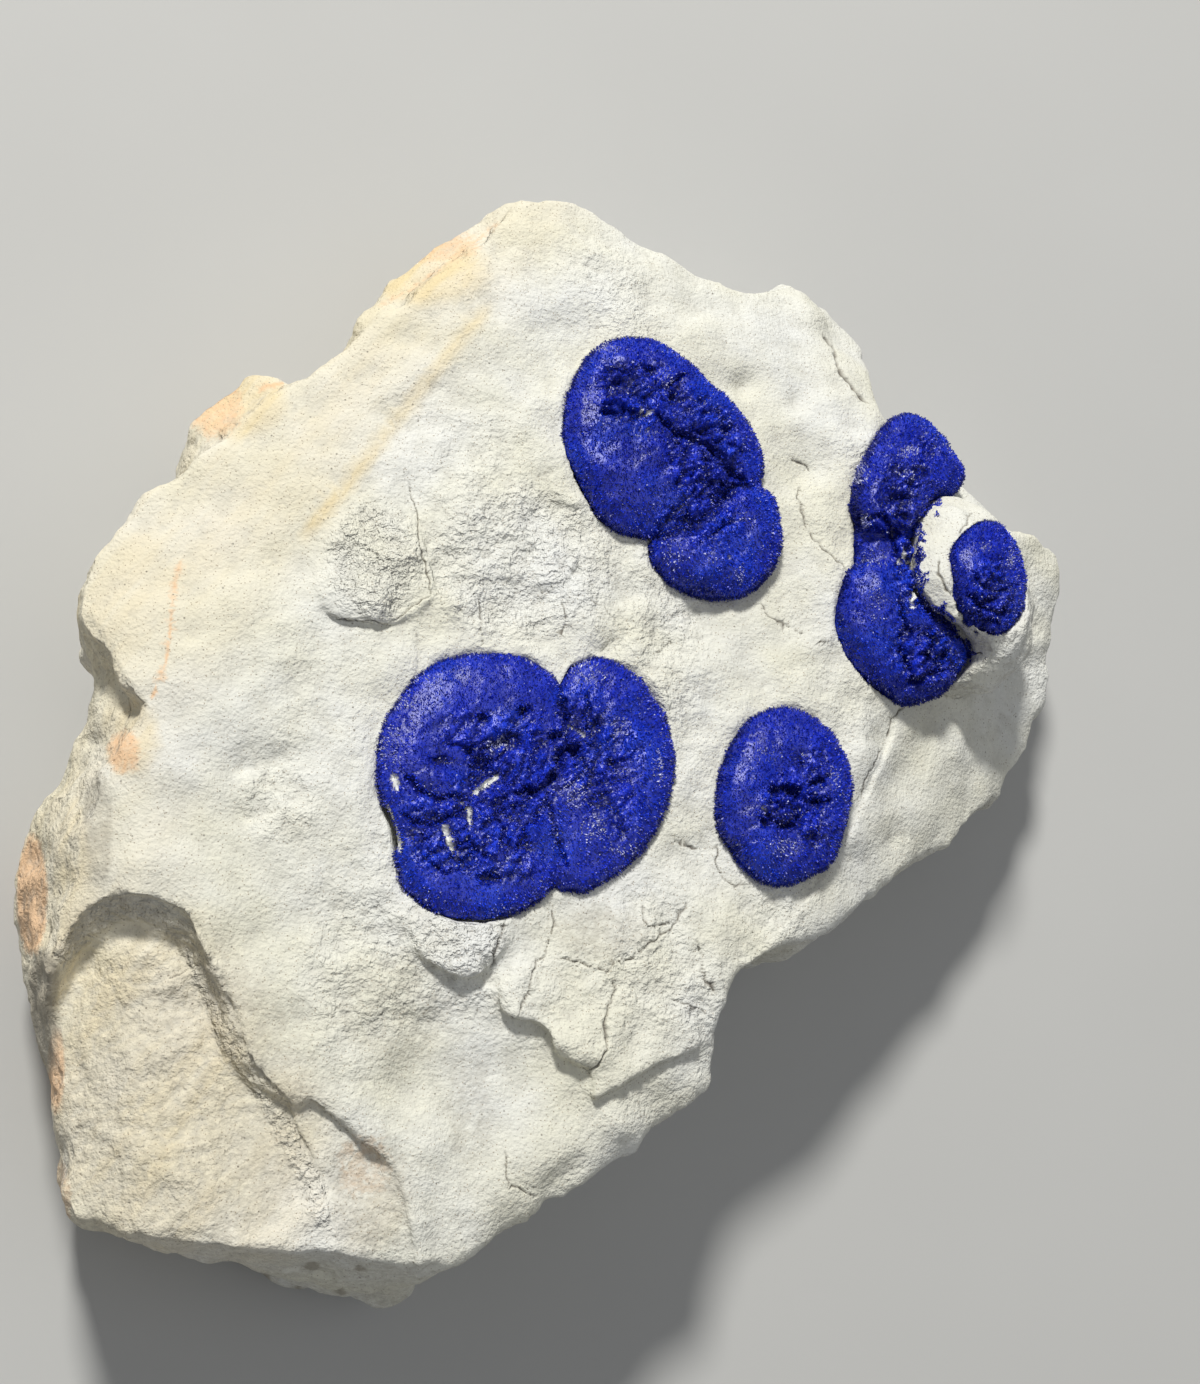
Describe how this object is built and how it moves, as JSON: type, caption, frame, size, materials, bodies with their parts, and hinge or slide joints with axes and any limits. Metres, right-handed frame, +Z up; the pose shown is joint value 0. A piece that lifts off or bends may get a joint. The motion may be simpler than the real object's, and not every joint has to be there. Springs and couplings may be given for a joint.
{
  "type": "azurite specimen",
  "caption": "Natural claystone block lying on its flat back, with flat rosettes of deep blue azurite crystals grown in its upper face.",
  "frame": {"origin": "under the middle of the specimen's box, on the surface that it lies on", "axes": "+Z up, out of the display face; +X to the right across the face, +Y to its top"},
  "size_m": [0.205, 0.1996, 0.0588],
  "materials": {
    "claystone": "matt, chalky, cream-white claystone with faint yellow and peach stains",
    "azurite": "deep ultramarine crust of tiny bright crystal blades"
  },
  "bodies": {
    "root": {"claystone_matrix": "claystone", "azurite_sun_upper": "azurite", "azurite_sun_left": "azurite", "azurite_sun_lower": "azurite", "azurite_sun_crescent": "azurite", "azurite_sun_boss": "azurite"}
  },
  "joints": []
}
